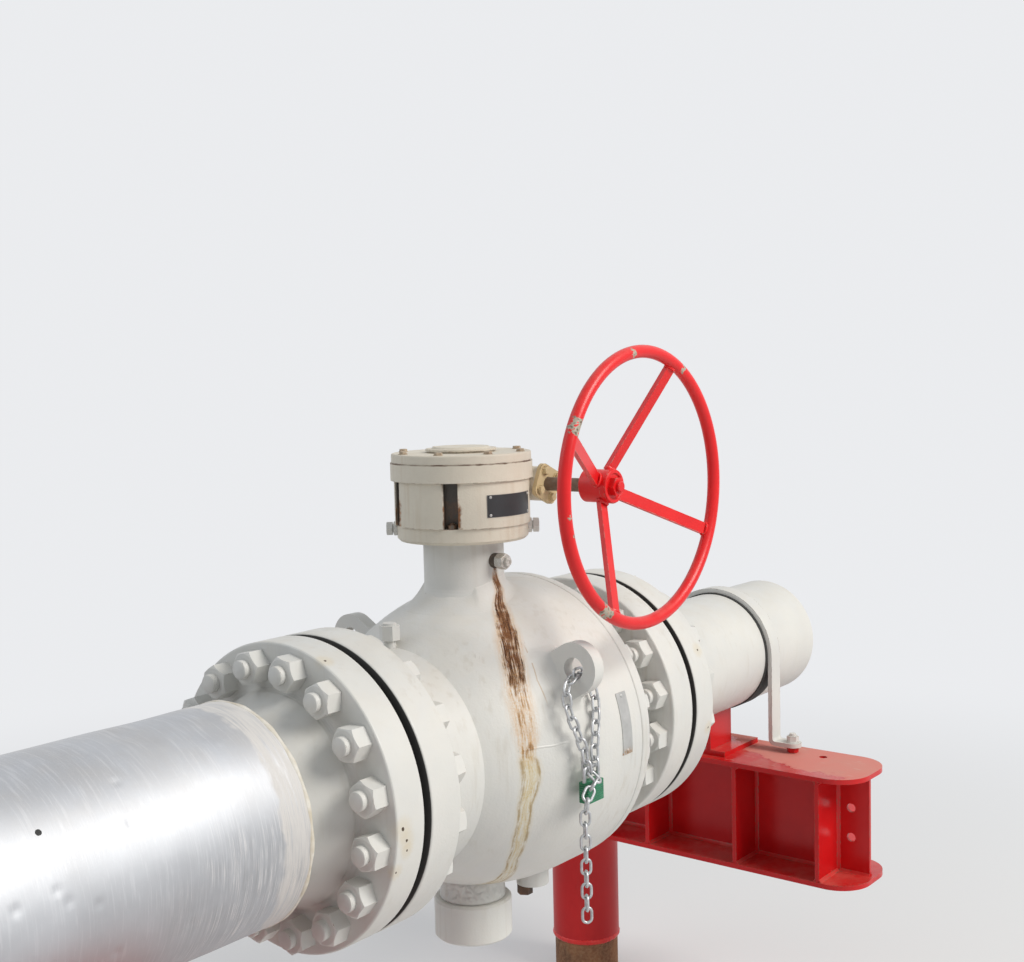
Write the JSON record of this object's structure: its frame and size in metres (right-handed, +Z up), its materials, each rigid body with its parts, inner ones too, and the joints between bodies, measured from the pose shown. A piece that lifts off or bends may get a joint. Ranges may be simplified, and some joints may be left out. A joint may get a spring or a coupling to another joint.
{
  "type": "pipeline ball valve with worm gear handwheel",
  "caption": "Large flanged ball valve with a worm gearbox and a red handwheel, bolted between two pipe stubs that rest on red steel beams and posts.",
  "frame": {"origin": "centre of the right post's foot, where its pile goes into the ground, 375 mm beyond the pipe centre line", "axes": "+X along the pipe from the insulated side to the bare side, +Y away from the handwheel, +Z up"},
  "size_m": [2.3, 0.943, 1.577],
  "materials": {
    "painted_valve": "matt",
    "painted_pipe": "matt",
    "gearbox_paint": "matt",
    "red_paint": "satin",
    "support_red": "satin",
    "bare_steel": "satin",
    "dark_steel": "matt",
    "rusty_pile": "rough",
    "gasket": "matt",
    "cladding": "bright",
    "insulation": "matt",
    "liner_rubber": "matt",
    "galvanised": "satin",
    "padlock_green": "satin"
  },
  "bodies": {
    "root": {"valve_body": "painted_valve", "end_piece": "painted_valve", "stem_neck": "painted_valve", "gearbox_mount": "gearbox_paint", "gearbox_housing": "gearbox_paint", "gearbox_cover": "gearbox_paint", "indicator_cap": "gearbox_paint", "worm_cover_near": "gearbox_paint", "worm_cover_far": "gearbox_paint", "sealant_fitting": "bare_steel", "vent_fitting": "bare_steel", "drain_plug": "dark_steel", "foot_cap": "painted_valve", "valve_foot": "painted_valve", "left_gasket": "gasket", "right_gasket": "gasket", "left_neck_flange": "painted_pipe", "right_neck_flange": "painted_pipe", "left_pipe": "painted_pipe", "right_pipe": "painted_pipe", "left_insulation": "insulation", "left_cladding": "cladding", "right_beam": "support_red", "left_beam": "support_red", "beam_stiffeners": "support_red", "right_post": "support_red", "left_post": "support_red", "right_pile": "rusty_pile", "left_pile": "rusty_pile", "right_strap": "painted_pipe", "left_strap": "painted_pipe", "right_strap_liner": "liner_rubber", "right_pipe_rest": "support_red", "left_pipe_rest": "support_red", "lock_chain": "galvanised", "padlock_body": "padlock_green", "padlock_shackle": "galvanised"},
    "handwheel": {"input_shaft": "bare_steel", "handwheel_hub": "red_paint", "handwheel_spokes": "red_paint", "handwheel_rim": "red_paint", "handwheel_nut": "red_paint"}
  },
  "joints": [
    {"name": "handwheel_turn", "type": "hinge", "parent": "root", "child": "handwheel", "pos_m": [-0.778, -0.641, 1.327], "axis": [0, -1, 0], "continuous": true}
  ]
}
